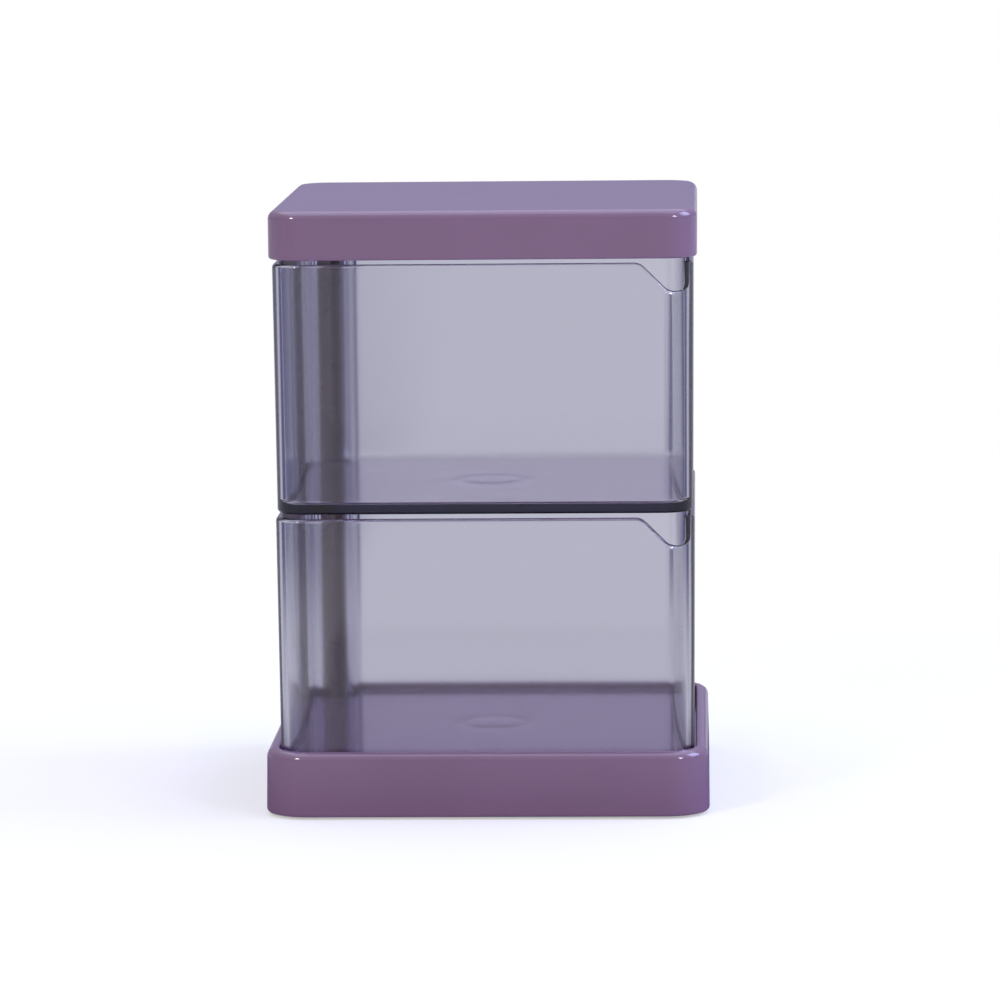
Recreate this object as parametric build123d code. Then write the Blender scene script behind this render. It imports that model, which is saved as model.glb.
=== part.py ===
from build123d import *
from math import hypot, radians, tan
import os

# Swivelling desk organizer: a base tray carries two clear boxes and a lid, stacked on one
# upright post in the rear left corner. The lower box is seated in the tray, and the upper
# box and the lid swing out about the post.
# Frame: millimetres, +Z up, front towards -Y, origin on the desk at the middle of the base.

os.makedirs("parts", exist_ok=True)

# ---------------------------------------------------------------- driving dimensions

# clear boxes (both are the same moulding)
box_width = 94.4                # square plan, across the rim
box_height = 56.2
box_corner_radius = 7.0         # plan radius at the rim, centred on the swivel axis
box_draft = 0.4                 # degrees that each wall leans in towards the floor
box_wall = 1.8
box_floor = 2.0
box_foot_rounding = 0.8         # outer edge under the floor
box_inside_rounding = 1.2       # inner edge round the floor
box_rim_rounding = 0.7          # outer edge of the rim and of the scoop
box_rim_inner_rounding = 0.2
barrel_radius = 6.5             # corner barrel that turns on the post
gate_mark_radius = 1.6          # shallow sprue spot under the floor
gate_mark_depth = 0.3

# finger scoop at the front right corner of each rim
scoop_depth = 6.5
scoop_flat = 0.35               # straight stretch between the heel and the toe
scoop_slope = 45.0              # degrees
scoop_shoulder_radius = 2.8
scoop_heel_radius = 3.5
scoop_toe_radius = 1.5
scoop_end_inset = 0.3           # from the side wall's inner face to the scoop's end

# stacking
layer_gap = 1.0                 # spacer washer thickness between two layers
foot_stand = 0.5                # the feet lift the base edge off the desk

# base tray
base_height = 14.7
base_draft = 1.0                # degrees that the outer walls flare towards the bottom
base_wall = 2.4
base_floor = 2.4
rim_thickness = 2.8
recess_depth = 3.5              # how far the lower box sits below the rim
seat_clearance = 0.4            # box to recess, each side
base_top_rounding = 2.0
base_rim_inner_rounding = 0.5
base_bottom_rounding = 0.8

# bottom cover and its screws
cover_thickness = 1.8
cover_recess = 0.3              # the cover lies this far up inside the skirt
cover_clearance = 0.15
cover_screw_inset = 17.7        # from the edge of the cover, on a square pattern
cover_screw_radius = 1.3
cover_screw_head_radius = 2.4
cover_screw_length = 7.0
screw_boss_radius = 3.2

# feet
foot_radius = 5.0
foot_pocket = 0.6
foot_inset = 9.7                # from the edge of the cover to the middle of a foot
foot_clearance = 0.2
foot_edge_rounding = 0.25

# post and its fixings
post_radius = 3.0
post_fit = 0.05                 # running clearance on the radius
post_seat_fit = 0.02
post_chamfer = 0.4
post_tap_depth = 10.0
post_boss_radius = 6.2
post_web = 1.8                  # wall under the post that the foot screw clamps
post_screw_radius = 1.5
post_screw_head_radius = 2.75
post_screw_head_height = 1.8
post_screw_length = 8.0
thread_clearance = 0.05
foot_washer_radius = 4.0
foot_washer_thickness = 0.5
foot_screw_headroom = 0.4       # between the foot screw and the cover
washer_fit = 0.2                # clearance round a washer's bore or rim
spacer_radius = 5.5

# lid
lid_height = 11.0
lid_overhang = 0.8
lid_wall = 2.2
lid_top = 2.2
lid_top_rounding = 2.1
lid_bottom_rounding = 0.6
liner_thickness = 1.6
liner_recess = 1.2              # the liner lies this far up inside the skirt
liner_clearance = 0.15
lid_end_play = 0.3
cap_screw_headroom = 1.1        # between the cap screw and the lid's ceiling
cap_washer_radius = 5.0
cap_washer_thickness = 0.6
pin_inset = 15.8                # from the inside of the skirt to the middle of a pin
pin_radius = 1.5
pin_fit = 0.05
pin_shoulder_radius = 2.8
pin_tip_gap = 0.3

# details that every screw shares
cross_width = 0.7
cross_depth = 0.8
cross_share = 0.6               # reach of the cross recess, of the head's radius
head_rounding_share = 0.45      # of the head's height
tip_chamfer_share = 0.3         # of the shank's radius

# how near an edge lies to the face or the height that it is picked by
edge_tolerance = 0.02

# ---------------------------------------------------------------- places that follow

box_lean = box_height * tan(radians(box_draft))
box_foot_width = box_width - 2 * box_lean
box_foot_radius = box_corner_radius - box_lean
axis_x = -(box_width / 2 - box_corner_radius)
axis_y = box_width / 2 - box_corner_radius

base_bottom = foot_stand
base_top = base_bottom + base_height
recess_floor = base_top - recess_depth
recess_width = box_foot_width + 2 * seat_clearance
recess_radius = box_foot_radius + seat_clearance
base_width = recess_width + 2 * rim_thickness
base_corner_radius = recess_radius + rim_thickness
base_flare = base_height * tan(radians(base_draft))
base_bottom_width = base_width + 2 * base_flare
base_bottom_radius = base_corner_radius + base_flare
skirt_width = base_bottom_width - 2 * base_wall
skirt_radius = base_bottom_radius - base_wall

lower_box_bottom = recess_floor
lower_box_top = lower_box_bottom + box_height
upper_box_bottom = lower_box_top + layer_gap
upper_box_top = upper_box_bottom + box_height
lid_bottom = upper_box_top + layer_gap
lid_top_face = lid_bottom + lid_height
lid_width = box_width + 2 * lid_overhang
lid_corner_radius = box_corner_radius + lid_overhang
lid_inside_width = lid_width - 2 * lid_wall
lid_inside_radius = lid_corner_radius - lid_wall
liner_radius = lid_inside_radius - liner_clearance

cover_bottom = base_bottom + cover_recess
cover_top = cover_bottom + cover_thickness
cover_width = skirt_width - 2 * cover_clearance - 2 * cover_top * tan(radians(base_draft))
cavity_top = recess_floor - base_floor
foot_spacing = cover_width - 2 * foot_inset
cover_screw_spacing = cover_width - 2 * cover_screw_inset

foot_washer_bottom = cover_top + foot_screw_headroom + post_screw_head_height
web_bottom = foot_washer_bottom + foot_washer_thickness
post_foot = web_bottom + post_web
lid_ceiling = lid_top_face - lid_top
post_top = lid_ceiling - cap_screw_headroom - post_screw_head_height - cap_washer_thickness
bearing_top = post_top - lid_end_play
pin_spacing = lid_inside_width - 2 * pin_inset
liner_bottom = lid_bottom + liner_recess
liner_top = liner_bottom + liner_thickness


# ---------------------------------------------------------------- shared shapes

def leaning_block(top_width, top_radius, top, height, draft):
    """Square block with rounded corners that narrows downwards by the draft."""
    face = Plane.XY.offset(top) * RectangleRounded(top_width, top_width, top_radius)
    return extrude(face, amount=height, dir=(0, 0, -1), taper=draft)


def flaring_block(bottom_width, bottom_radius, bottom, height, draft):
    """Square block with rounded corners that narrows upwards by the draft."""
    face = Plane.XY.offset(bottom) * RectangleRounded(bottom_width, bottom_width, bottom_radius)
    return extrude(face, amount=height, taper=draft)


def upright_block(width, radius, bottom, top):
    """Square block with rounded corners and upright walls."""
    return flaring_block(width, radius, bottom, top - bottom, 0)


def rod(radius, bottom, top, x=0.0, y=0.0):
    """Upright cylinder between two heights."""
    return Pos(x, y, (bottom + top) / 2) * Cylinder(radius, top - bottom)


def washer(outer_radius, inner_radius, bottom, top):
    """Flat washer on the swivel axis."""
    ring = rod(outer_radius, bottom, top, axis_x, axis_y)
    return ring - rod(inner_radius, bottom, top, axis_x, axis_y)


def square_pattern(spacing):
    """Centres of a square pattern about the middle of the base."""
    half = spacing / 2
    return [(-half, -half), (half, -half), (half, half), (-half, half)]


def cross_slot(radius, bottom, depth):
    """Cutter for a cross recess in a screw head."""
    arm = Pos(0, 0, bottom + depth / 2)
    return arm * Box(2 * radius, cross_width, depth) + arm * Box(cross_width, 2 * radius, depth)


def pan_screw(head_radius, head_height, shank_radius, shank_length):
    """Pan head screw standing on its head, with the seat of the head at height zero."""
    head = rod(head_radius, -head_height, 0)
    head = fillet(head.edges().group_by(Axis.Z)[0], head_height * head_rounding_share)
    head = head - cross_slot(head_radius * cross_share, -head_height, cross_depth)
    shank = rod(shank_radius, 0, shank_length)
    return head + chamfer(shank.edges().group_by(Axis.Z)[-1], shank_radius * tip_chamfer_share)


def flat_screw(head_radius, shank_radius, length):
    """Countersunk screw standing on its head, with the flat of the head at height zero."""
    cone_height = head_radius - shank_radius
    cone = Pos(0, 0, cone_height / 2) * Cone(head_radius, shank_radius, cone_height)
    shank = rod(shank_radius, cone_height, length)
    shank = chamfer(shank.edges().group_by(Axis.Z)[-1], shank_radius * tip_chamfer_share)
    return cone + shank - cross_slot(head_radius * cross_share, 0, cross_depth)


# ---------------------------------------------------------------- base

def make_base_tray():
    """Glossy tray: a raised rim round the seat of the lower box, and a hollow underside."""
    tray = flaring_block(base_bottom_width, base_bottom_radius, base_bottom, base_height, base_draft)
    tray = fillet(tray.edges().group_by(Axis.Z)[-1], base_top_rounding)
    tray = fillet(tray.edges().group_by(Axis.Z)[0], base_bottom_rounding)
    recess = upright_block(recess_width, recess_radius, recess_floor, base_top)
    tray = tray - recess

    def rings_the_recess(edge):
        reach = max(abs(edge.center().X), abs(edge.center().Y))
        at_top = edge.bounding_box().min.Z > base_top - edge_tolerance
        return at_top and reach < recess_width / 2 + edge_tolerance

    tray = fillet(tray.edges().filter_by(rings_the_recess), base_rim_inner_rounding)
    hollow = flaring_block(skirt_width, skirt_radius, base_bottom, cavity_top - base_bottom, base_draft)
    bosses = rod(post_boss_radius, cover_top, cavity_top, axis_x, axis_y)
    for x, y in square_pattern(cover_screw_spacing):
        bosses = bosses + rod(screw_boss_radius, cover_top, cavity_top, x, y)
    tray = tray - (hollow - bosses)
    tray = tray - rod(post_radius + post_seat_fit, post_foot, recess_floor, axis_x, axis_y)
    tray = tray - rod(post_screw_radius + washer_fit, web_bottom, post_foot, axis_x, axis_y)
    tray = tray - rod(foot_washer_radius + washer_fit, cover_top, web_bottom, axis_x, axis_y)
    pilot_top = cover_bottom + cover_screw_length + pin_tip_gap
    for x, y in square_pattern(cover_screw_spacing):
        tray = tray - rod(cover_screw_radius + thread_clearance, cover_top, pilot_top, x, y)
    return tray


def make_base_cover():
    """Plate that closes the underside, with countersinks and pockets for the feet."""
    cover = upright_block(cover_width, skirt_radius - cover_clearance, cover_bottom, cover_top)
    sink = cover_screw_head_radius - cover_screw_radius
    for x, y in square_pattern(cover_screw_spacing):
        cover = cover - rod(cover_screw_radius + washer_fit, cover_bottom, cover_top, x, y)
        cone = Cone(cover_screw_head_radius + thread_clearance, cover_screw_radius + thread_clearance, sink)
        cover = cover - Pos(x, y, cover_bottom + sink / 2) * cone
    for x, y in square_pattern(foot_spacing):
        cover = cover - rod(foot_radius + foot_clearance, cover_bottom, cover_bottom + foot_pocket, x, y)
    return cover


def make_foot(x, y):
    """Round rubber pad stuck in its pocket."""
    pad = rod(foot_radius, 0, cover_bottom + foot_pocket, x, y)
    return fillet(pad.edges().group_by(Axis.Z)[0], foot_edge_rounding)


def make_cover_screws():
    """Four countersunk screws, their heads flush with the cover."""
    screw = flat_screw(cover_screw_head_radius, cover_screw_radius, cover_screw_length)
    places = square_pattern(cover_screw_spacing)
    return Compound(children=[Pos(x, y, cover_bottom) * screw for x, y in places])


# ---------------------------------------------------------------- post

def make_post():
    """Steel rod, tapped at both ends, seated in the tray's corner boss."""
    post = rod(post_radius, post_foot, post_top, axis_x, axis_y)
    post = chamfer(post.edges().filter_by(GeomType.CIRCLE), post_chamfer)
    tap = post_screw_radius + thread_clearance
    post = post - rod(tap, post_foot, post_foot + post_tap_depth, axis_x, axis_y)
    return post - rod(tap, post_top - post_tap_depth, post_top, axis_x, axis_y)


def make_foot_screw():
    """Screw that holds the post down, from below the web of the boss."""
    screw = pan_screw(post_screw_head_radius, post_screw_head_height, post_screw_radius, post_screw_length)
    return Pos(axis_x, axis_y, foot_washer_bottom) * screw


def make_cap_screw():
    """Screw in the top of the post, its washer keeps the lid from lifting off."""
    seat = post_top + cap_washer_thickness
    screw = pan_screw(post_screw_head_radius, post_screw_head_height, post_screw_radius, post_screw_length)
    return Pos(axis_x, axis_y, seat) * Rot(180, 0, 0) * screw


# ---------------------------------------------------------------- clear boxes

def scoop_cutter(rim):
    """Prism for the finger scoop: a shoulder, a slope, a round heel and an upright end."""
    end = box_width / 2 - box_wall - scoop_end_inset
    heel = end - scoop_toe_radius - scoop_flat - scoop_heel_radius * tan(radians(scoop_slope / 2))
    start = heel - scoop_depth / tan(radians(scoop_slope))
    above = rim + box_wall
    left = start - 2 * scoop_shoulder_radius
    corners = [(left, above), (left, rim), (start, rim), (heel, rim - scoop_depth)]
    corners = corners + [(end, rim - scoop_depth), (end, above)]
    outline = Polygon(*corners, align=None)

    def corner_at(x, z):
        return outline.vertices().sort_by_distance((x, z, 0))[0]

    outline = fillet(corner_at(start, rim), scoop_shoulder_radius)
    outline = fillet(corner_at(heel, rim - scoop_depth), scoop_heel_radius)
    outline = fillet(corner_at(end, rim - scoop_depth), scoop_toe_radius)
    face = Plane.XZ.offset(box_width / 2 + box_wall) * outline
    return extrude(face, amount=-(box_corner_radius + box_wall))


def rim_edges(box, rim, inset):
    """Edges of the rim and the scoop, on the outer face or, inset by the wall, on the inner one."""
    lean = tan(radians(box_draft))
    middle = box_width / 2 - box_corner_radius
    lowest = rim - scoop_depth - edge_tolerance

    def lies_on_face(point):
        radius = box_corner_radius - inset - (rim - point.Z) * lean
        side_x = max(abs(point.X) - middle, 0)
        side_y = max(abs(point.Y) - middle, 0)
        return abs(hypot(side_x, side_y) - radius) < edge_tolerance

    def belongs(edge):
        near_start, middle_point, near_end = edge @ 0.15, edge @ 0.5, edge @ 0.85
        on_face = lies_on_face(near_start) and lies_on_face(middle_point) and lies_on_face(near_end)
        return on_face and edge.bounding_box().min.Z > lowest

    return box.edges().filter_by(belongs)


def make_box(bottom):
    """Clear box with leaning walls, a corner barrel for the post and a finger scoop."""
    rim = bottom + box_height
    box = leaning_block(box_width, box_corner_radius, rim, box_height, box_draft)
    box = fillet(box.edges().group_by(Axis.Z)[0], box_foot_rounding)
    inside_width = box_width - 2 * box_wall
    inside_radius = box_corner_radius - box_wall
    inside = leaning_block(inside_width, inside_radius, rim, box_height - box_floor, box_draft)
    inside = fillet(inside.edges().group_by(Axis.Z)[0], box_inside_rounding)
    inside = inside - rod(barrel_radius, bottom, rim, axis_x, axis_y)
    box = box - inside - scoop_cutter(rim)
    box = fillet(rim_edges(box, rim, 0), box_rim_rounding)
    box = fillet(rim_edges(box, rim, box_wall), box_rim_inner_rounding)
    box = box - rod(post_radius + post_fit, bottom, rim, axis_x, axis_y)
    return box - rod(gate_mark_radius, bottom, bottom + gate_mark_depth)


# ---------------------------------------------------------------- lid

def make_lid_shell():
    """Glossy cap, open below, with four stepped pins that carry the liner."""
    shell = upright_block(lid_width, lid_corner_radius, lid_bottom, lid_top_face)
    shell = fillet(shell.edges().group_by(Axis.Z)[-1], lid_top_rounding)
    shell = fillet(shell.edges().group_by(Axis.Z)[0], lid_bottom_rounding)
    inside = upright_block(lid_inside_width, lid_inside_radius, lid_bottom, lid_ceiling)
    for x, y in square_pattern(pin_spacing):
        inside = inside - rod(pin_shoulder_radius, liner_top, lid_ceiling, x, y)
        inside = inside - rod(pin_radius, liner_bottom + pin_tip_gap, liner_top, x, y)
    return shell - inside


def make_lid_liner():
    """Flat plate inside the lid, with the bearing that turns on the post."""
    width = lid_inside_width - 2 * liner_clearance
    liner = upright_block(width, liner_radius, liner_bottom, liner_top)
    liner = liner + rod(liner_radius, lid_bottom, bearing_top, axis_x, axis_y)
    liner = liner - rod(post_radius + post_fit, lid_bottom, bearing_top, axis_x, axis_y)
    for x, y in square_pattern(pin_spacing):
        liner = liner - rod(pin_radius + pin_fit, liner_bottom, liner_top, x, y)
    return liner


# ---------------------------------------------------------------- assembly

spacer_bore = post_radius + washer_fit
screw_bore = post_screw_radius + washer_fit

pieces = {
    "base_tray": make_base_tray(),
    "base_cover": make_base_cover(),
    "cover_screws": make_cover_screws(),
    "pivot_post": make_post(),
    "post_foot_washer": washer(foot_washer_radius, screw_bore, foot_washer_bottom, web_bottom),
    "post_foot_screw": make_foot_screw(),
    "lower_box": make_box(lower_box_bottom),
    "lower_spacer": washer(spacer_radius, spacer_bore, lower_box_top, upper_box_bottom),
    "upper_box": make_box(upper_box_bottom),
    "upper_spacer": washer(spacer_radius, spacer_bore, upper_box_top, lid_bottom),
    "lid_liner": make_lid_liner(),
    "lid_cap_washer": washer(cap_washer_radius, screw_bore, post_top, post_top + cap_washer_thickness),
    "lid_cap_screw": make_cap_screw(),
    "lid_shell": make_lid_shell(),
}
foot_names = ["foot_front_left", "foot_front_right", "foot_rear_right", "foot_rear_left"]
for foot_name, (foot_x, foot_y) in zip(foot_names, square_pattern(foot_spacing)):
    pieces[foot_name] = make_foot(foot_x, foot_y)

for node, piece in pieces.items():
    export_step(piece, f"parts/{node}.step")
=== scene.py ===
from math import hypot, pi, radians, sqrt, tan

import bmesh
import bpy
from mathutils import Matrix, Vector


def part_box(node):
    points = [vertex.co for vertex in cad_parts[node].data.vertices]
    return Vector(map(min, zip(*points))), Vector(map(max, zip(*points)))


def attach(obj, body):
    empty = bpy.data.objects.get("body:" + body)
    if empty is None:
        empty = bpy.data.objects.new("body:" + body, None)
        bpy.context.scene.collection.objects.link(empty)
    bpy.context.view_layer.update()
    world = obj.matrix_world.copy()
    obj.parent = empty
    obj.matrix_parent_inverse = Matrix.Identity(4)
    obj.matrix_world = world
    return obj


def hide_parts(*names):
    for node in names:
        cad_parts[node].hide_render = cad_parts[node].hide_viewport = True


# Swivelling desk organizer: a glossy lilac tray carries two clear boxes and a lid, stacked on
# one steel post in the rear left corner. The sections follow the order in which it is put together.
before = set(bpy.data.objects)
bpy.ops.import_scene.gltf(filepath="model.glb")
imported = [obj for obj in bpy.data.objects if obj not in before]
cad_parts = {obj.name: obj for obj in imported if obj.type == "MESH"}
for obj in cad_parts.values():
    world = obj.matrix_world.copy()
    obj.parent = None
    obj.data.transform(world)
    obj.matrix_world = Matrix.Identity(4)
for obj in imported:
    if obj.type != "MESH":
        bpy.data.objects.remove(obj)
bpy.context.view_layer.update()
mm = 0.001


# ---------------------------------------------------------------- base tray
# One injection moulding in glossy lilac ABS, hollow below. A rounded rim stands round the seat
# of the lower box, and bosses under the floor take the post and the screws of the cover.

tray_low, tray_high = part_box("base_tray")
post_low, post_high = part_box("pivot_post")
cover_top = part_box("base_cover")[1].z
seat_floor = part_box("lower_box")[0].z

tray_corner_radius = 9.8 * mm
tray_flare = tan(radians(1.0))
rim_thickness = 2.8 * mm
rim_rounding = 2.0 * mm
rim_inner_rounding = 0.5 * mm
tray_foot_rounding = 0.8 * mm
tray_floor = 2.4 * mm
tray_wall = 2.4 * mm
post_boss_radius = 6.2 * mm
screw_boss_radius = 3.2 * mm
screw_boss_place = 30.0 * mm
corner_steps = 20
near = 0.03 * mm    # how closely an edge has to lie at the place that is asked for
clear = 1.0 * mm    # how far a cutting piece stands out of what it cuts
level = 0.99        # least Z part of a level face's normal


def rounded_block(name, width, radius, bottom, top, foot_share, steps=corner_steps):
    """Square block about the Z axis, with rounded upright edges. It stays in edit mode.

    foot_share gives the width of its bottom face against that of its top face.
    """
    bpy.ops.object.select_all(action="DESELECT")
    middle = (0, 0, (bottom + top) / 2)
    bpy.ops.mesh.primitive_cube_add(size=1, location=middle, scale=(width, width, top - bottom))
    bpy.ops.object.transform_apply(location=True, rotation=True, scale=True)
    piece = bpy.context.object
    piece.name = name
    bpy.ops.object.mode_set(mode="EDIT")
    pick(piece, "EDGE", lambda edge: abs(edge.verts[0].co.z - edge.verts[1].co.z) > clear)
    bpy.ops.mesh.bevel(offset=radius, segments=steps, affect="EDGES")
    pick(piece, "FACE", faces_down)
    bpy.ops.transform.resize(value=(foot_share, foot_share, 1), center_override=(0, 0, 0))
    return piece


def faces_down(face):
    """Test for level faces that look down."""
    return face.normal.z < -level


def pick(piece, kind, test):
    """In edit mode, selects the faces, edges or vertices that pass the test, and nothing else."""
    bpy.ops.mesh.select_mode(type=kind)
    bpy.ops.mesh.select_all(action="DESELECT")
    mesh = bmesh.from_edit_mesh(piece.data)
    elements = {"VERT": mesh.verts, "EDGE": mesh.edges, "FACE": mesh.faces}[kind]
    for element in elements:
        if test(element):
            element.select_set(True)
    mesh.select_flush_mode()
    bmesh.update_edit_mesh(piece.data)


def at_height(height):
    """Test for edges that lie at one height."""
    return lambda edge: all(abs(vert.co.z - height) < near for vert in edge.verts)


def on_outline(width, radius, lowest, highest, lean=0.0):
    """Test for edges on a rounded square outline, whose width holds at the highest level."""
    middle = width / 2 - radius

    def test(edge):
        for vert in edge.verts:
            reach = hypot(max(abs(vert.co.x) - middle, 0), max(abs(vert.co.y) - middle, 0))
            drawn_in = (highest - vert.co.z) * lean
            if abs(reach - (radius - drawn_in)) > near:
                return False
            if vert.co.z < lowest - near or vert.co.z > highest + near:
                return False
        return True

    return test


def round_edges(piece, test, radius, steps):
    """Rounds the square edges that pass the test."""
    pick(piece, "EDGE", test)
    bpy.ops.mesh.bevel(offset=radius, segments=steps, affect="EDGES", clamp_overlap=False)


def rod(name, radius, bottom, top, x, y, steps=48):
    """Upright cylinder between two heights."""
    bpy.ops.object.select_all(action="DESELECT")
    place = (x, y, (bottom + top) / 2)
    bpy.ops.mesh.primitive_cylinder_add(vertices=steps, radius=radius, depth=top - bottom, location=place)
    bpy.ops.object.transform_apply(location=True, rotation=True, scale=True)
    bpy.context.object.name = name
    return bpy.context.object


def cut(piece, tool):
    """Cuts the tool from the piece, and removes the tool."""
    bpy.ops.object.select_all(action="DESELECT")
    bpy.context.view_layer.objects.active = piece
    piece.select_set(True)
    modifier = piece.modifiers.new("cut", "BOOLEAN")
    modifier.operation = "DIFFERENCE"
    modifier.object = tool
    bpy.ops.object.modifier_apply(modifier=modifier.name)
    bpy.data.objects.remove(tool)


def smooth(piece):
    """Smooth shading over the roundings, with the flat faces kept flat."""
    bpy.ops.object.select_all(action="DESELECT")
    bpy.context.view_layer.objects.active = piece
    piece.select_set(True)
    bpy.ops.object.shade_smooth_by_angle(angle=radians(30))
    modifier = piece.modifiers.new("flat faces", "WEIGHTED_NORMAL")
    modifier.keep_sharp = True
    modifier.weight = 100
    bpy.ops.object.modifier_apply(modifier=modifier.name)


def linear(hex_colour):
    """Linear RGBA of an sRGB hex colour."""
    channels = [int(hex_colour[i:i + 2], 16) / 255 for i in (1, 3, 5)]
    return [c / 12.92 if c <= 0.04045 else ((c + 0.055) / 1.055) ** 2.4 for c in channels] + [1]


def add_node(tree, kind, inputs=None, **settings):
    """Adds a node, gives it its settings, and sets or links its inputs."""
    node = tree.nodes.new(kind)
    for name, value in settings.items():
        setattr(node, name, value)
    for name, value in (inputs or {}).items():
        if isinstance(value, bpy.types.NodeSocket):
            tree.links.new(value, node.inputs[name])
        else:
            node.inputs[name].default_value = value
    return node


def start_material(name):
    """A material with an empty node tree."""
    material = bpy.data.materials.new(name)
    material.use_nodes = True
    material.node_tree.nodes.clear()
    return material, material.node_tree


def finish_material(tree, surface, volume=None):
    """Links the surface, and the volume if there is one, to the output."""
    output = add_node(tree, "ShaderNodeOutputMaterial", {"Surface": surface})
    if volume:
        tree.links.new(volume, output.inputs["Volume"])


def glossy_abs(name, colour):
    """Polished ABS moulding: even colour, a gloss with faint orange peel and a few dull wipe marks."""
    material, tree = start_material(name)
    place = add_node(tree, "ShaderNodeTexCoord").outputs["Object"]
    peel_width = 2.5 * mm
    cloud_width = 30 * mm
    wipe_width = 9 * mm
    peel = add_node(tree, "ShaderNodeTexNoise", {"Vector": place, "Scale": 1 / peel_width, "Detail": 1.0})
    cloud = add_node(tree, "ShaderNodeTexNoise", {"Vector": place, "Scale": 1 / cloud_width, "Detail": 2.0})
    wipe = add_node(tree, "ShaderNodeTexNoise", {"Vector": place, "Scale": 1 / wipe_width, "Detail": 4.0})
    shade = add_node(tree, "ShaderNodeMapRange", {
        "Value": cloud.outputs["Fac"], "From Min": 0.3, "From Max": 0.7, "To Min": 0.97, "To Max": 1.03})
    tint = add_node(tree, "ShaderNodeVectorMath", {0: linear(colour)[:3]}, operation="SCALE")
    tree.links.new(shade.outputs["Result"], tint.inputs["Scale"])
    gloss = add_node(tree, "ShaderNodeMapRange", {
        "Value": wipe.outputs["Fac"], "From Min": 0.35, "From Max": 0.75, "To Min": 0.11, "To Max": 0.14})
    bump = add_node(tree, "ShaderNodeBump", {
        "Height": peel.outputs["Fac"], "Strength": 1.0, "Distance": 0.004 * mm})
    abs_shader = add_node(tree, "ShaderNodeBsdfPrincipled", {
        "Base Color": tint.outputs["Vector"], "Roughness": gloss.outputs["Result"],
        "Normal": bump.outputs["Normal"], "IOR": 1.54})
    finish_material(tree, abs_shader.outputs["BSDF"])
    return material


def dress(piece, material, body, replaced):
    """Gives a new piece its material and body, and hides the node that it stands for."""
    piece.data.materials.clear()
    piece.data.materials.append(material)
    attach(piece, body)
    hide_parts(replaced)


lilac_abs = glossy_abs("lilac_abs_polished", "#745a73")

tray_height = tray_high.z - tray_low.z
tray_bottom_width = tray_high.x - tray_low.x
tray_top_width = tray_bottom_width - 2 * tray_height * tray_flare
seat_width = tray_top_width - 2 * rim_thickness
seat_radius = tray_corner_radius - rim_thickness
post_x = (post_low.x + post_high.x) / 2
post_y = (post_low.y + post_high.y) / 2

tray = rounded_block("base_tray_moulding", tray_top_width, tray_corner_radius, tray_low.z, tray_high.z,
                     foot_share=tray_bottom_width / tray_top_width)
round_edges(tray, at_height(tray_high.z), rim_rounding, steps=6)
round_edges(tray, at_height(tray_low.z), tray_foot_rounding, steps=3)
bpy.ops.object.mode_set(mode="OBJECT")
seat = rounded_block("seat", seat_width, seat_radius, seat_floor, tray_high.z + clear, foot_share=1.0)
bpy.ops.object.mode_set(mode="OBJECT")
cut(tray, seat)
bpy.ops.object.mode_set(mode="EDIT")
round_edges(tray, on_outline(seat_width, seat_radius, tray_high.z, tray_high.z), rim_inner_rounding, steps=3)
bpy.ops.object.mode_set(mode="OBJECT")

# the hollow underside, with its bosses left standing
underside_top = seat_floor - tray_floor
underside_width = tray_bottom_width - 2 * tray_wall
underside = rounded_block("underside", underside_width, tray_corner_radius - tray_wall,
                          tray_low.z - clear, underside_top, foot_share=1.0)
bpy.ops.object.mode_set(mode="OBJECT")
cut(underside, rod("boss", post_boss_radius, cover_top, underside_top + clear, post_x, post_y))
for x in (-screw_boss_place, screw_boss_place):
    for y in (-screw_boss_place, screw_boss_place):
        cut(underside, rod("boss", screw_boss_radius, cover_top, underside_top + clear, x, y))
cut(tray, underside)
post_radius = (post_high.x - post_low.x) / 2
cut(tray, rod("post seat", post_radius, post_low.z, seat_floor + clear, post_x, post_y))
smooth(tray)
dress(tray, lilac_abs, "base", "base_tray")


# ---------------------------------------------------------------- post and its fixings
# A drawn steel rod, dark nickel plated, chamfered and tapped at both ends. It stands in the
# tray's corner boss, and a zinc plated screw and washer hold it from below.

post_chamfer = 0.4 * mm
post_tap_radius = 1.55 * mm
post_tap_depth = 10.0 * mm


def set_stops(ramp, stops):
    """Gives a colour ramp its stops, each a position and a hex colour."""
    elements = ramp.color_ramp.elements
    for element, (position, colour) in zip(elements, stops):
        element.position = position
        element.color = linear(colour)
    for position, colour in stops[2:]:
        elements.new(position).color = linear(colour)


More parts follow.
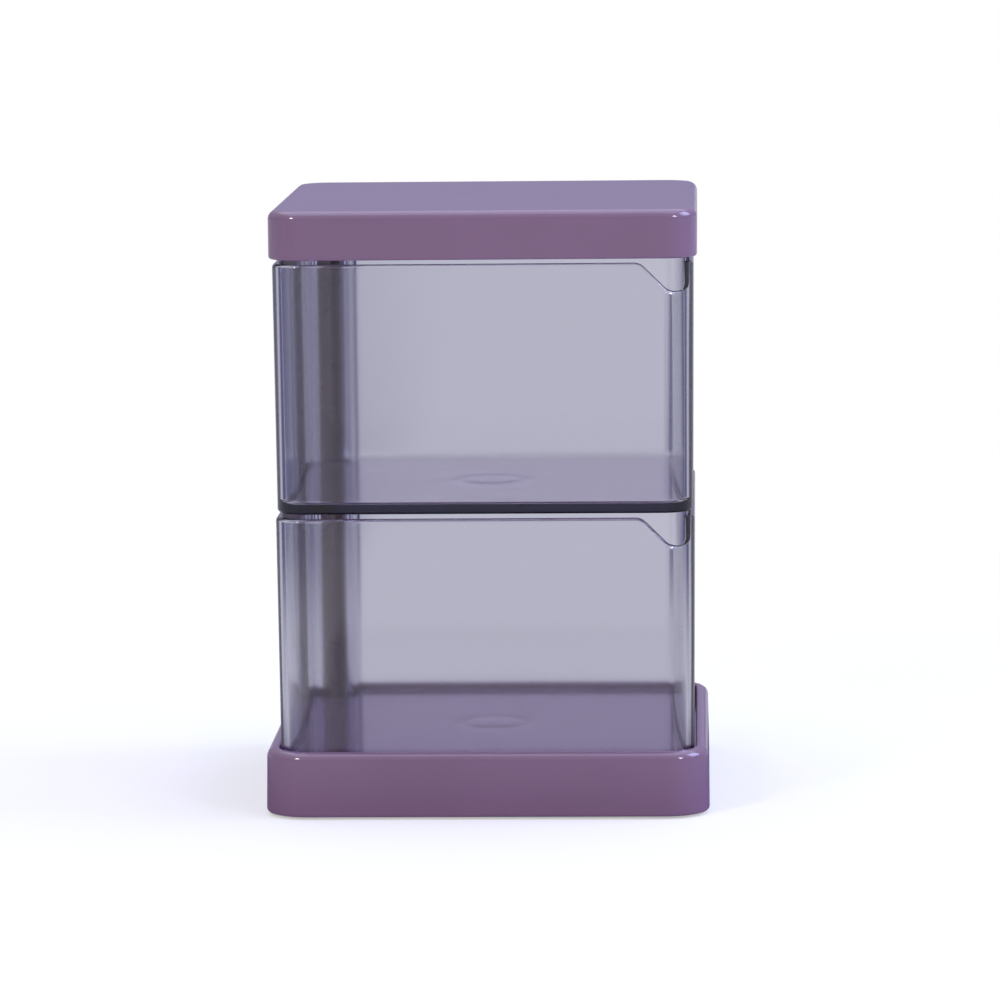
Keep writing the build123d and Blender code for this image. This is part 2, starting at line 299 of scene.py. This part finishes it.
def plated_steel(name, colour, shaded_side_colour, roughness, drawn):
    """Plated steel with a satin gloss. Painted shade darkens its right side to a second colour, which on the
    post is a painted brown reflection.

    Faint lines run along a drawn rod, and hardly show on a pressed part.
    """
    material, tree = start_material(name)
    place = add_node(tree, "ShaderNodeTexCoord").outputs["Object"]
    line_width = 0.8 * mm
    line_length = 90 * mm
    blotch_width = 12 * mm
    # painted shade: across the post's right side the colour goes over to the shaded second colour
    side_start = post_x - 0.8 * mm
    side_end = post_x + 1.6 * mm
    across = add_node(tree, "ShaderNodeSeparateXYZ", {"Vector": place}).outputs["X"]
    side = add_node(tree, "ShaderNodeMapRange", {
        "Value": across, "From Min": side_start, "From Max": side_end}, interpolation_type="SMOOTHSTEP")
    painted_side_shade = add_node(tree, "ShaderNodeValToRGB", {"Fac": side.outputs["Result"]})
    set_stops(painted_side_shade, ((0.0, colour), (1.0, shaded_side_colour)))
    stretched = add_node(tree, "ShaderNodeMapping", {
        "Vector": place, "Scale": (1 / line_width, 1 / line_width, 1 / line_length)})
    lines = add_node(tree, "ShaderNodeTexNoise", {
        "Vector": stretched.outputs["Vector"], "Scale": 1.0, "Detail": 2.0})
    blotch = add_node(tree, "ShaderNodeTexNoise", {
        "Vector": place, "Scale": 1 / blotch_width, "Detail": 3.0})
    dull = add_node(tree, "ShaderNodeMapRange", {
        "Value": blotch.outputs["Fac"], "From Min": 0.35, "From Max": 0.7,
        "To Min": roughness, "To Max": roughness + 0.04})
    bump = add_node(tree, "ShaderNodeBump", {
        "Height": lines.outputs["Fac"], "Strength": drawn, "Distance": 0.006 * mm})
    steel = add_node(tree, "ShaderNodeBsdfPrincipled", {
        "Base Color": painted_side_shade.outputs["Color"], "Metallic": 1.0, "Roughness": dull.outputs["Result"],
        "Normal": bump.outputs["Normal"]})
    finish_material(tree, steel.outputs["BSDF"])
    return material


# The second colour is painted shade on the right side: a painted dark brown reflection on the post, a
# slightly darker grey on the zinc parts.
dark_nickel = plated_steel("steel_drawn_dark_nickel", "#80706a", "#4d3129", 0.26, 0.5)
bright_zinc = plated_steel("steel_bright_zinc", "#c3c5c8", "#b5b6b8", 0.28, 0.2)

post = rod("pivot_post_rod", post_radius, post_low.z, post_high.z, post_x, post_y, steps=72)
bpy.ops.object.mode_set(mode="EDIT")
for height, inward in ((post_low.z, 1), (post_high.z, -1)):
    round_edges(post, at_height(height), post_chamfer, steps=2)
    pick(post, "FACE", lambda face: abs(face.calc_center_median().z - height) < near
         and abs(face.normal.z) > level and face.calc_area() > pi * post_tap_radius ** 2)
    bpy.ops.mesh.inset(thickness=post_radius - post_chamfer - post_tap_radius)
    bpy.ops.mesh.extrude_region_move(TRANSFORM_OT_translate={"value": (0, 0, inward * post_tap_depth)})
bpy.ops.object.mode_set(mode="OBJECT")
smooth(post)
dress(post, dark_nickel, "base", "pivot_post")


def finish_node(name, material):
    """Gives a node of the frame its finished material."""
    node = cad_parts[name]
    node.data.materials.clear()
    node.data.materials.append(material)


for name in ("post_foot_screw", "post_foot_washer"):
    finish_node(name, bright_zinc)


# ---------------------------------------------------------------- bottom cover, its screws and the feet
# A flat cover in the same lilac ABS, spark textured to a matt grain, closes the underside. Four
# countersunk screws hold it, and four rubber pads are stuck in its pockets.

def matt_grain(name, colour, grain_width, grain_depth, roughness, ior):
    """A grained surface: fine rounded pits, with the colour a little uneven."""
    material, tree = start_material(name)
    place = add_node(tree, "ShaderNodeTexCoord").outputs["Object"]
    cloud_width = 18 * mm
    grain = add_node(tree, "ShaderNodeTexVoronoi", {"Vector": place, "Scale": 1 / grain_width},
                     feature="SMOOTH_F1")
    cloud = add_node(tree, "ShaderNodeTexNoise", {"Vector": place, "Scale": 1 / cloud_width, "Detail": 3.0})
    shade = add_node(tree, "ShaderNodeMapRange", {
        "Value": cloud.outputs["Fac"], "From Min": 0.3, "From Max": 0.7, "To Min": 0.94, "To Max": 1.06})
    tint = add_node(tree, "ShaderNodeVectorMath", {0: linear(colour)[:3]}, operation="SCALE")
    tree.links.new(shade.outputs["Result"], tint.inputs["Scale"])
    bump = add_node(tree, "ShaderNodeBump", {
        "Height": grain.outputs["Distance"], "Strength": 1.0, "Distance": grain_depth})
    surface = add_node(tree, "ShaderNodeBsdfPrincipled", {
        "Base Color": tint.outputs["Vector"], "Roughness": roughness, "Normal": bump.outputs["Normal"],
        "IOR": ior})
    finish_material(tree, surface.outputs["BSDF"])
    return material


grained_abs = matt_grain("abs_spark_textured", "#6f5675", 0.7 * mm, 0.05 * mm, 0.55, 1.54)
black_rubber = matt_grain("rubber_moulded", "#2b292d", 0.5 * mm, 0.06 * mm, 0.7, 1.52)
finish_node("base_cover", grained_abs)
finish_node("cover_screws", bright_zinc)
for corner in ("front_left", "front_right", "rear_right", "rear_left"):
    finish_node("foot_" + corner, black_rubber)


# ---------------------------------------------------------------- clear boxes
# Two boxes from one mould, in clear polystyrene with a smoky lilac tint. The walls lean in a
# little, a barrel in the rear left corner turns on the post, and a scoop cut in the front
# right corner of the rim leaves room for a finger. The gate left a shallow dimple in the floor.

box_low, box_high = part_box("lower_box")
upper_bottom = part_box("upper_box")[0].z

box_corner_radius = 7.0 * mm
box_corner_steps = 16
box_wall = 1.8 * mm
box_floor = 2.0 * mm
box_lean = tan(radians(0.4))
box_foot_rounding = 0.8 * mm
box_inside_rounding = 1.2 * mm
box_rim_rounding = 0.9 * mm
box_rim_inner_rounding = 0.4 * mm
taper_length = 4.0 * mm    # over which the rim's rounding falls off, next to the scoop's end
least_share = 0.12         # of the rounding, left at the end itself
barrel_radius = 6.5 * mm
barrel_clearance = 0.05 * mm
scoop_depth = 6.5 * mm
scoop_flat = 0.35 * mm
scoop_shoulder_radius = 2.8 * mm
scoop_heel_radius = 3.5 * mm
scoop_toe_radius = 1.5 * mm
scoop_end_inset = 0.3 * mm
scoop_slope = 45.0
half_slope = tan(radians(scoop_slope / 2))
scoop_heel_steps = 6       # few, so that each step is wider than the rim's rounding
scoop_toe_steps = 4
foot_ring = 2.5 * mm
foot_relief = 0.15 * mm
gate_radius = 1.6 * mm
gate_depth = 0.3 * mm
dimple_rings = ((10.5 * mm, 0.0), (9.6 * mm, 0.12 * mm), (6.8 * mm, 0.0), (6.0 * mm, -0.08 * mm),
                (3.2 * mm, 0.0), (2.4 * mm, 0.05 * mm))


def round_tapered(piece, test, radius, steps, tip):
    """Rounds the edges that pass the test. The radius falls off towards the tip, which is given in plan."""
    mesh = bmesh.new()
    mesh.from_mesh(piece.data)
    shares = mesh.edges.layers.float.new("bevel_weight_edge")
    for edge in mesh.edges:
        if test(edge):
            middle = (edge.verts[0].co + edge.verts[1].co) / 2
            share = (middle.xy - tip).length / taper_length
            edge[shares] = min(max(share, least_share), 1.0)
    mesh.to_mesh(piece.data)
    mesh.free()
    modifier = piece.modifiers.new("rounding", "BEVEL")
    modifier.limit_method = "WEIGHT"
    modifier.width = radius
    modifier.segments = steps
    modifier.use_clamp_overlap = False
    modifier.loop_slide = False
    bpy.ops.object.modifier_apply(modifier=modifier.name)
    piece.data.attributes.remove(piece.data.attributes["bevel_weight_edge"])


def across_at(x, height):
    """Test for edges along Y, at one height."""
    return lambda edge: at_height(height)(edge) and all(abs(vert.co.x - x) < near for vert in edge.verts)


def make_box_moulding():
    """The box at the height of the lower one."""
    width = box_high.x - box_low.x
    height = box_high.z - box_low.z
    foot_width = width - 2 * height * box_lean
    box = rounded_block("lower_box_moulding", width, box_corner_radius, box_low.z, box_high.z,
                        foot_share=foot_width / width, steps=box_corner_steps)
    round_edges(box, at_height(box_low.z), box_foot_rounding, steps=4)
    pick(box, "FACE", faces_down)
    bpy.ops.mesh.inset(thickness=foot_ring)
    bpy.ops.mesh.extrude_region_move(TRANSFORM_OT_translate={"value": (0, 0, foot_relief)})
    bpy.ops.object.mode_set(mode="OBJECT")

    # the inside, as far round the barrel as it goes
    floor_top = box_low.z + box_floor
    inside_width = width - 2 * box_wall
    open_width = inside_width + 2 * clear * box_lean
    floor_width = inside_width - 2 * (height - box_floor) * box_lean
    inside = rounded_block("inside", open_width, box_corner_radius - box_wall, floor_top,
                           box_high.z + clear, foot_share=floor_width / open_width, steps=box_corner_steps)
    round_edges(inside, at_height(floor_top), box_inside_rounding, steps=5)
    bpy.ops.object.mode_set(mode="OBJECT")
    cut(inside, rod("barrel", barrel_radius, box_low.z, box_high.z + 2 * clear, post_x, post_y, steps=112))
    cut(box, inside)
    cut(box, rod("bore", post_radius + barrel_clearance, box_low.z - clear, box_high.z + clear,
                 post_x, post_y, steps=72))

    # the finger scoop: a slope, a round heel and an upright end
    end = width / 2 - box_wall - scoop_end_inset
    heel_reach = scoop_heel_radius * half_slope
    heel = end - scoop_toe_radius - scoop_flat - heel_reach
    start = heel - scoop_depth
    bottom = box_high.z - scoop_depth
    bpy.ops.object.select_all(action="DESELECT")
    low = Vector((start - clear, -width / 2 - clear, bottom))
    high = Vector((end, box_corner_radius - width / 2, box_high.z + clear))
    bpy.ops.mesh.primitive_cube_add(size=1, location=(low + high) / 2, scale=high - low)
    bpy.ops.object.transform_apply(location=True, rotation=True, scale=True)
    scoop = bpy.context.object
    bpy.ops.object.mode_set(mode="EDIT")
    pick(scoop, "VERT", lambda vert: vert.co.x < start and vert.co.z < bottom + near)
    bpy.ops.transform.translate(value=(heel - low.x, 0, 0))
    round_edges(scoop, across_at(heel, bottom), heel_reach, scoop_heel_steps)
    round_edges(scoop, across_at(end, bottom), scoop_toe_radius, scoop_toe_steps)
    bpy.ops.object.mode_set(mode="OBJECT")
    cut(box, scoop)
    bpy.ops.object.mode_set(mode="EDIT")
    round_edges(box, across_at(start, box_high.z), scoop_shoulder_radius * half_slope, steps=6)

    # the rim and the scoop, rounded outside and inside, less at the scoop's sharp upright end
    bpy.ops.object.mode_set(mode="OBJECT")
    corner = width / 2 - box_corner_radius
    outside_reach = sqrt(box_corner_radius ** 2 - (end - corner) ** 2)
    scoop_tip = Vector((end, -corner - outside_reach))
    round_tapered(box, on_outline(width, box_corner_radius, bottom, box_high.z, box_lean),
                  box_rim_rounding, steps=4, tip=scoop_tip)
    round_tapered(box, on_outline(inside_width, box_corner_radius - box_wall, bottom, box_high.z, box_lean),
                  box_rim_inner_rounding, steps=2, tip=scoop_tip)

    # the gate mark under the floor, and the dimple over it
    cut(box, rod("gate", gate_radius, box_low.z - clear, box_low.z + foot_relief + gate_depth, 0, 0))
    outer, _ = dimple_rings[0]
    dimple = rod("dimple", outer, floor_top + near, floor_top + clear, 0, 0, steps=72)
    bpy.ops.object.mode_set(mode="EDIT")
    pick(dimple, "FACE", faces_down)
    for radius, depth in dimple_rings[1:]:
        bpy.ops.mesh.inset(thickness=outer - radius, depth=depth)
        outer = radius
    bpy.ops.object.mode_set(mode="OBJECT")
    cut(box, dimple)
    smooth(box)
    return box


def tinted_polystyrene(name, lamp_tint, depth_tint, depth_density):
    """Polished clear polystyrene. The tint is in the plastic: thick edges go darker than walls.

    Lamp light goes straight through, faintly tinted, so that what stands inside is lit.
    """
    material, tree = start_material(name)
    place = add_node(tree, "ShaderNodeTexCoord").outputs["Object"]
    flow_width = 14 * mm
    flow_length = 70 * mm
    stretched = add_node(tree, "ShaderNodeMapping", {
        "Vector": place, "Scale": (1 / flow_width, 1 / flow_width, 1 / flow_length)})
    flow = add_node(tree, "ShaderNodeTexNoise", {
        "Vector": stretched.outputs["Vector"], "Scale": 1.0, "Detail": 1.0})
    bump = add_node(tree, "ShaderNodeBump", {
        "Height": flow.outputs["Fac"], "Strength": 1.0, "Distance": 0.03 * mm})
    clear_plastic = add_node(tree, "ShaderNodeBsdfPrincipled", {
        "Base Color": linear("#ffffff"), "Roughness": 0.07, "IOR": 1.59, "Transmission Weight": 1.0,
        "Normal": bump.outputs["Normal"]})
    path = add_node(tree, "ShaderNodeLightPath").outputs
    lamp_rays = add_node(tree, "ShaderNodeMath", {0: path["Is Shadow Ray"], 1: path["Is Diffuse Ray"]},
                         operation="MAXIMUM")
    let_through = add_node(tree, "ShaderNodeBsdfTransparent", {"Color": linear(lamp_tint)})
    surface = add_node(tree, "ShaderNodeMixShader", {
        "Fac": lamp_rays.outputs[0], 1: clear_plastic.outputs["BSDF"], 2: let_through.outputs[0]})
    depth = add_node(tree, "ShaderNodeVolumeAbsorption", {
        "Color": linear(depth_tint), "Density": depth_density})
    finish_material(tree, surface.outputs[0], depth.outputs[0])
    return material


smoky_polystyrene = tinted_polystyrene("polystyrene_smoky_lilac", "#f4f0f7", "#8f87b4", 56.0)
lower_box = make_box_moulding()
bpy.ops.object.duplicate(linked=False)
upper_box = bpy.context.object
upper_box.name = "upper_box_moulding"
bpy.ops.transform.translate(value=(0, 0, upper_bottom - box_low.z))
bpy.ops.object.transform_apply(location=True, rotation=True, scale=True)
dress(lower_box, smoky_polystyrene, "base", "lower_box")
dress(upper_box, smoky_polystyrene, "upper_box", "upper_box")


# ---------------------------------------------------------------- spacers between the layers
# Two natural nylon washers on the post. They carry the upper box and the lid, and show as
# thin milky discs in the gaps.

def natural_nylon(name, colour):
    """Unpigmented nylon: milky, lets light through, with a soft satin gloss."""
    material, tree = start_material(name)
    nylon = add_node(tree, "ShaderNodeBsdfPrincipled", {
        "Base Color": linear(colour), "Roughness": 0.35, "IOR": 1.53, "Transmission Weight": 0.7})
    finish_material(tree, nylon.outputs["BSDF"])
    return material


nylon = natural_nylon("nylon_natural", "#d8d3dc")
finish_node("lower_spacer", nylon)
finish_node("upper_spacer", nylon)


# ---------------------------------------------------------------- lid
# A shallow cap in the tray's glossy lilac ABS. Four stepped pins under its top carry a flat
# liner, whose boss turns on the post below the cap screw and its washer.

lid_low, lid_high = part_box("lid_shell")
lid_corner_radius = 7.8 * mm
lid_wall = 2.2 * mm
lid_top = 2.2 * mm
lid_top_rounding = 2.1 * mm
lid_foot_rounding = 0.6 * mm
pin_place = 30.0 * mm
pin_shoulder_radius = 2.8 * mm
pin_radius = 1.5 * mm
pin_tip_gap = 0.3 * mm
liner_inset = 1.2 * mm
liner_thickness = 1.6 * mm

liner_bottom = lid_low.z + liner_inset
liner_top = liner_bottom + liner_thickness
lid_width = lid_high.x - lid_low.x
lid_ceiling = lid_high.z - lid_top
lid = rounded_block("lid_cap_moulding", lid_width, lid_corner_radius, lid_low.z, lid_high.z, foot_share=1.0)
round_edges(lid, at_height(lid_high.z), lid_top_rounding, steps=8)
round_edges(lid, at_height(lid_low.z), lid_foot_rounding, steps=3)
bpy.ops.object.mode_set(mode="OBJECT")
inside = rounded_block("inside", lid_width - 2 * lid_wall, lid_corner_radius - lid_wall,
                       lid_low.z - clear, lid_ceiling, foot_share=1.0)
bpy.ops.object.mode_set(mode="OBJECT")
for x in (-pin_place, pin_place):
    for y in (-pin_place, pin_place):
        cut(inside, rod("pin shoulder", pin_shoulder_radius, liner_top, lid_ceiling + clear, x, y))
        cut(inside, rod("pin", pin_radius, liner_bottom + pin_tip_gap, liner_top + clear, x, y))
cut(lid, inside)
smooth(lid)
dress(lid, lilac_abs, "lid", "lid_shell")
finish_node("lid_liner", grained_abs)
for name in ("lid_cap_screw", "lid_cap_washer"):
    finish_node(name, bright_zinc)


# ---------------------------------------------------------------- studio
# A pale floor, four soft lamps and plain pale surroundings, with the camera where the photograph
# was taken from.

# The camera's place in mm and its turns in radians come from a fit to the photograph's edges.
camera_place = Vector((49.43, -1187.37, 222.41)) * mm
camera_pitch = 0.1309
camera_yaw = 0.0401
camera_roll = -0.0103
sensor_width = 36.0
picture_width = 1000
focal_pixels = 5144.2

camera_data = bpy.data.cameras.new("camera")
camera_data.sensor_width = sensor_width
camera_data.lens = focal_pixels / picture_width * sensor_width
camera_data.clip_start = 0.01
camera = bpy.data.objects.new("camera", camera_data)
bpy.context.scene.collection.objects.link(camera)
camera.matrix_world = (
    Matrix.Translation(camera_place)
    @ Matrix.Rotation(camera_yaw, 4, "Z")
    @ Matrix.Rotation(pi / 2 - camera_pitch, 4, "X")
    @ Matrix.Rotation(camera_roll, 4, "Z")
)
bpy.context.scene.camera = camera

object_middle = Vector((0, 0, 70)) * mm


def softbox(name, place, size, power, colour="#ffffff"):
    """Square area lamp, in metres and watts, that points at the middle of the object."""
    lamp_data = bpy.data.lights.new(name, "AREA")
    lamp_data.shape = "SQUARE"
    lamp_data.size = size
    lamp_data.energy = power
    lamp_data.color = linear(colour)[:3]
    lamp = bpy.data.objects.new(name, lamp_data)
    bpy.context.scene.collection.objects.link(lamp)
    lamp.location = place
    aim = object_middle - lamp.location
    lamp.rotation_euler = aim.to_track_quat("-Z", "Y").to_euler()


softbox("key", (-0.9, -1.2, 1.0), 0.2, 9, "#fff6ee")
softbox("fill", (1.1, -1.1, 0.7), 0.22, 5)
softbox("overhead", (0.0, 0.3, 1.6), 2.0, 26, "#ccd9ff")
softbox("window", (1.4, 0.1, 1.0), 0.9, 22, "#bccaff")


def background_rays(tree):
    """Two factors: 1 for rays from the camera, and 1 for rays off gloss or through glass."""
    path = add_node(tree, "ShaderNodeLightPath").outputs
    gloss_or_glass = add_node(tree, "ShaderNodeMath", {
        0: path["Is Glossy Ray"], 1: path["Is Transmission Ray"]}, operation="MAXIMUM")
    return path["Is Camera Ray"], gloss_or_glass.outputs[0]


def whiten(tree, colour, camera_rays):
    """The colour as it is for gloss and glass, and white for the camera."""
    mix = add_node(tree, "ShaderNodeMix", data_type="RGBA")
    tree.links.new(camera_rays, mix.inputs[0])
    tree.links.new(colour, mix.inputs[6])
    mix.inputs[7].default_value = linear("#ffffff")
    return mix.outputs[2]


# Gloss and glass see a pale lavender grey room, with a darker tone on the floor near the object, partly the
# tabletop and partly a painted shadow of the object, and deeper bands low on the wall. Dark cards stand
# between the eight main views, and none near the object. They draw the edges of the clear plastic.
sweep_colour = "#c1c1d0"
# the next colour is the tabletop's tone and a painted shadow near the object
table_and_shadow_colour = "#6a6483"
horizon_colour = "#938eae"
wall_colour = "#b8b2cb"
band_colour = "#a99cc0"
ceiling_colour = "#f4f3f8"
ambient_colour = "#f6f3f5"
ambient_strength = 0.42
paper_colour = "#f4f3f6"
card_colour = "#444370"
card_count = 8
# over these distances the painted shadow and tabletop tone fade into the sweep
table_shadow_start = 80 * mm
table_shadow_end = 150 * mm
object_half_width = 55 * mm
card_side_start = 85 * mm
card_near_start = 240 * mm
card_near_end = 400 * mm


def turn_from_view(tree, place):
    """Angle about the Z axis to the nearest main view."""
    axes = add_node(tree, "ShaderNodeSeparateXYZ", {"Vector": place}).outputs
    turn = add_node(tree, "ShaderNodeMath", {0: axes["X"], 1: axes["Y"]}, operation="ARCTAN2")
    return add_node(tree, "ShaderNodeMath", {0: turn.outputs[0], 1: pi / card_count},
                    operation="PINGPONG").outputs[0]


def between_cards(tree, place):
    """1 in the middle of a gap between two cards, and 0 on a card. A reflection shows none of them."""
    turn = turn_from_view(tree, place)
    turns = add_node(tree, "ShaderNodeMath", {0: turn, 1: float(card_count)}, operation="MULTIPLY")
    # the wave is 1 at a main view, and -1 half way to the next
    wave = add_node(tree, "ShaderNodeMath", {0: turns.outputs[0]}, operation="COSINE")
    gap = add_node(tree, "ShaderNodeMapRange", {
        "Value": wave.outputs[0], "From Min": -0.5, "From Max": 0.9, "To Min": 0.0, "To Max": 1.0})
    mirrored = add_node(tree, "ShaderNodeLightPath").outputs["Is Reflection Ray"]
    lit = add_node(tree, "ShaderNodeMath", {0: gap.outputs["Result"], 1: mirrored}, operation="MAXIMUM")
    return lit.outputs[0]


def with_cards(tree, gap, colour):
    """The colour, with the dark cards over it."""
    mix = add_node(tree, "ShaderNodeMix", data_type="RGBA")
    tree.links.new(gap, mix.inputs[0])
    mix.inputs[6].default_value = linear(card_colour)
    tree.links.new(colour, mix.inputs[7])
    return mix.outputs[2]


world = bpy.data.worlds.new("studio")
bpy.context.scene.world = world
world.use_nodes = True
tree = world.node_tree
tree.nodes.clear()
direction = add_node(tree, "ShaderNodeTexCoord").outputs["Generated"]
height = add_node(tree, "ShaderNodeSeparateXYZ", {"Vector": direction}).outputs["Z"]
walls = add_node(tree, "ShaderNodeValToRGB", {"Fac": height})
set_stops(walls, ((0.085, horizon_colour), (0.11, wall_colour), (0.135, wall_colour),
                  (0.165, band_colour), (0.20, band_colour), (0.8, ceiling_colour)))
camera_rays, bent_rays = background_rays(tree)
shown_rays = add_node(tree, "ShaderNodeMath", {0: camera_rays, 1: bent_rays}, operation="MAXIMUM")
studio = with_cards(tree, between_cards(tree, direction), walls.outputs["Color"])
shown = add_node(tree, "ShaderNodeBackground", {"Color": whiten(tree, studio, camera_rays)})
ambient = add_node(tree, "ShaderNodeBackground", {
    "Color": linear(ambient_colour), "Strength": ambient_strength})
mixed = add_node(tree, "ShaderNodeMixShader", {
    "Fac": shown_rays.outputs[0], 1: ambient.outputs[0], 2: shown.outputs[0]})
add_node(tree, "ShaderNodeOutputWorld", {"Surface": mixed.outputs[0]})

# The camera sees the floor's paper and its shadow near the object, and plain white farther off.
floor_size = 40.0
bpy.ops.object.select_all(action="DESELECT")
bpy.ops.mesh.primitive_plane_add(size=floor_size, location=(0, 0, 0))
floor = bpy.context.object
floor.name = "floor"
material, tree = start_material("pale_floor")
place = add_node(tree, "ShaderNodeTexCoord").outputs["Object"]
distance = add_node(tree, "ShaderNodeVectorMath", {0: place}, operation="LENGTH")
far = add_node(tree, "ShaderNodeMapRange", {
    "Value": distance.outputs["Value"], "From Min": 60 * mm, "From Max": 400 * mm,
    "To Min": 0.45, "To Max": 1.0}, interpolation_type="SMOOTHSTEP")
camera_rays, bent_rays = background_rays(tree)
seen_plain = add_node(tree, "ShaderNodeMath", {0: far.outputs["Result"], 1: camera_rays},
                      operation="MULTIPLY")
plain_part = add_node(tree, "ShaderNodeMath", {0: seen_plain.outputs[0], 1: bent_rays}, operation="MAXIMUM")
paper = add_node(tree, "ShaderNodeBsdfDiffuse", {"Color": linear(paper_colour)})
# painted shadow: for gloss and glass the floor is unlit emission, and its darker tone near the object stands
# in for the object's shadow as well as the tabletop
table_and_shadow = add_node(tree, "ShaderNodeValToRGB", {"Fac": distance.outputs["Value"]})
set_stops(table_and_shadow, ((table_shadow_start, table_and_shadow_colour), (table_shadow_end, sweep_colour)))
slant = add_node(tree, "ShaderNodeMath", {0: turn_from_view(tree, place)}, operation="SINE")
sideways = add_node(tree, "ShaderNodeMath", {0: slant.outputs[0], 1: distance.outputs["Value"]},
                    operation="MULTIPLY")
behind_object = add_node(tree, "ShaderNodeMapRange", {
    "Value": sideways.outputs[0], "From Min": object_half_width, "From Max": card_side_start,
    "To Min": 1.0, "To Max": 0.0})
near_object = add_node(tree, "ShaderNodeMapRange", {
    "Value": distance.outputs["Value"], "From Min": card_near_start, "From Max": card_near_end,
    "To Min": 0.85, "To Max": 0.0})
without_card = add_node(tree, "ShaderNodeMath", {
    0: behind_object.outputs["Result"], 1: near_object.outputs["Result"]}, operation="MAXIMUM")
gap = add_node(tree, "ShaderNodeMath", {0: between_cards(tree, place), 1: without_card.outputs[0]},
               operation="MAXIMUM")
sweep = with_cards(tree, gap.outputs[0], table_and_shadow.outputs["Color"])
plain = add_node(tree, "ShaderNodeEmission", {"Color": whiten(tree, sweep, camera_rays)})
floor_mix = add_node(tree, "ShaderNodeMixShader", {
    "Fac": plain_part.outputs[0], 1: paper.outputs[0], 2: plain.outputs[0]})
finish_material(tree, floor_mix.outputs[0])
floor.data.materials.append(material)

bpy.context.scene.view_settings.view_transform = "Standard"
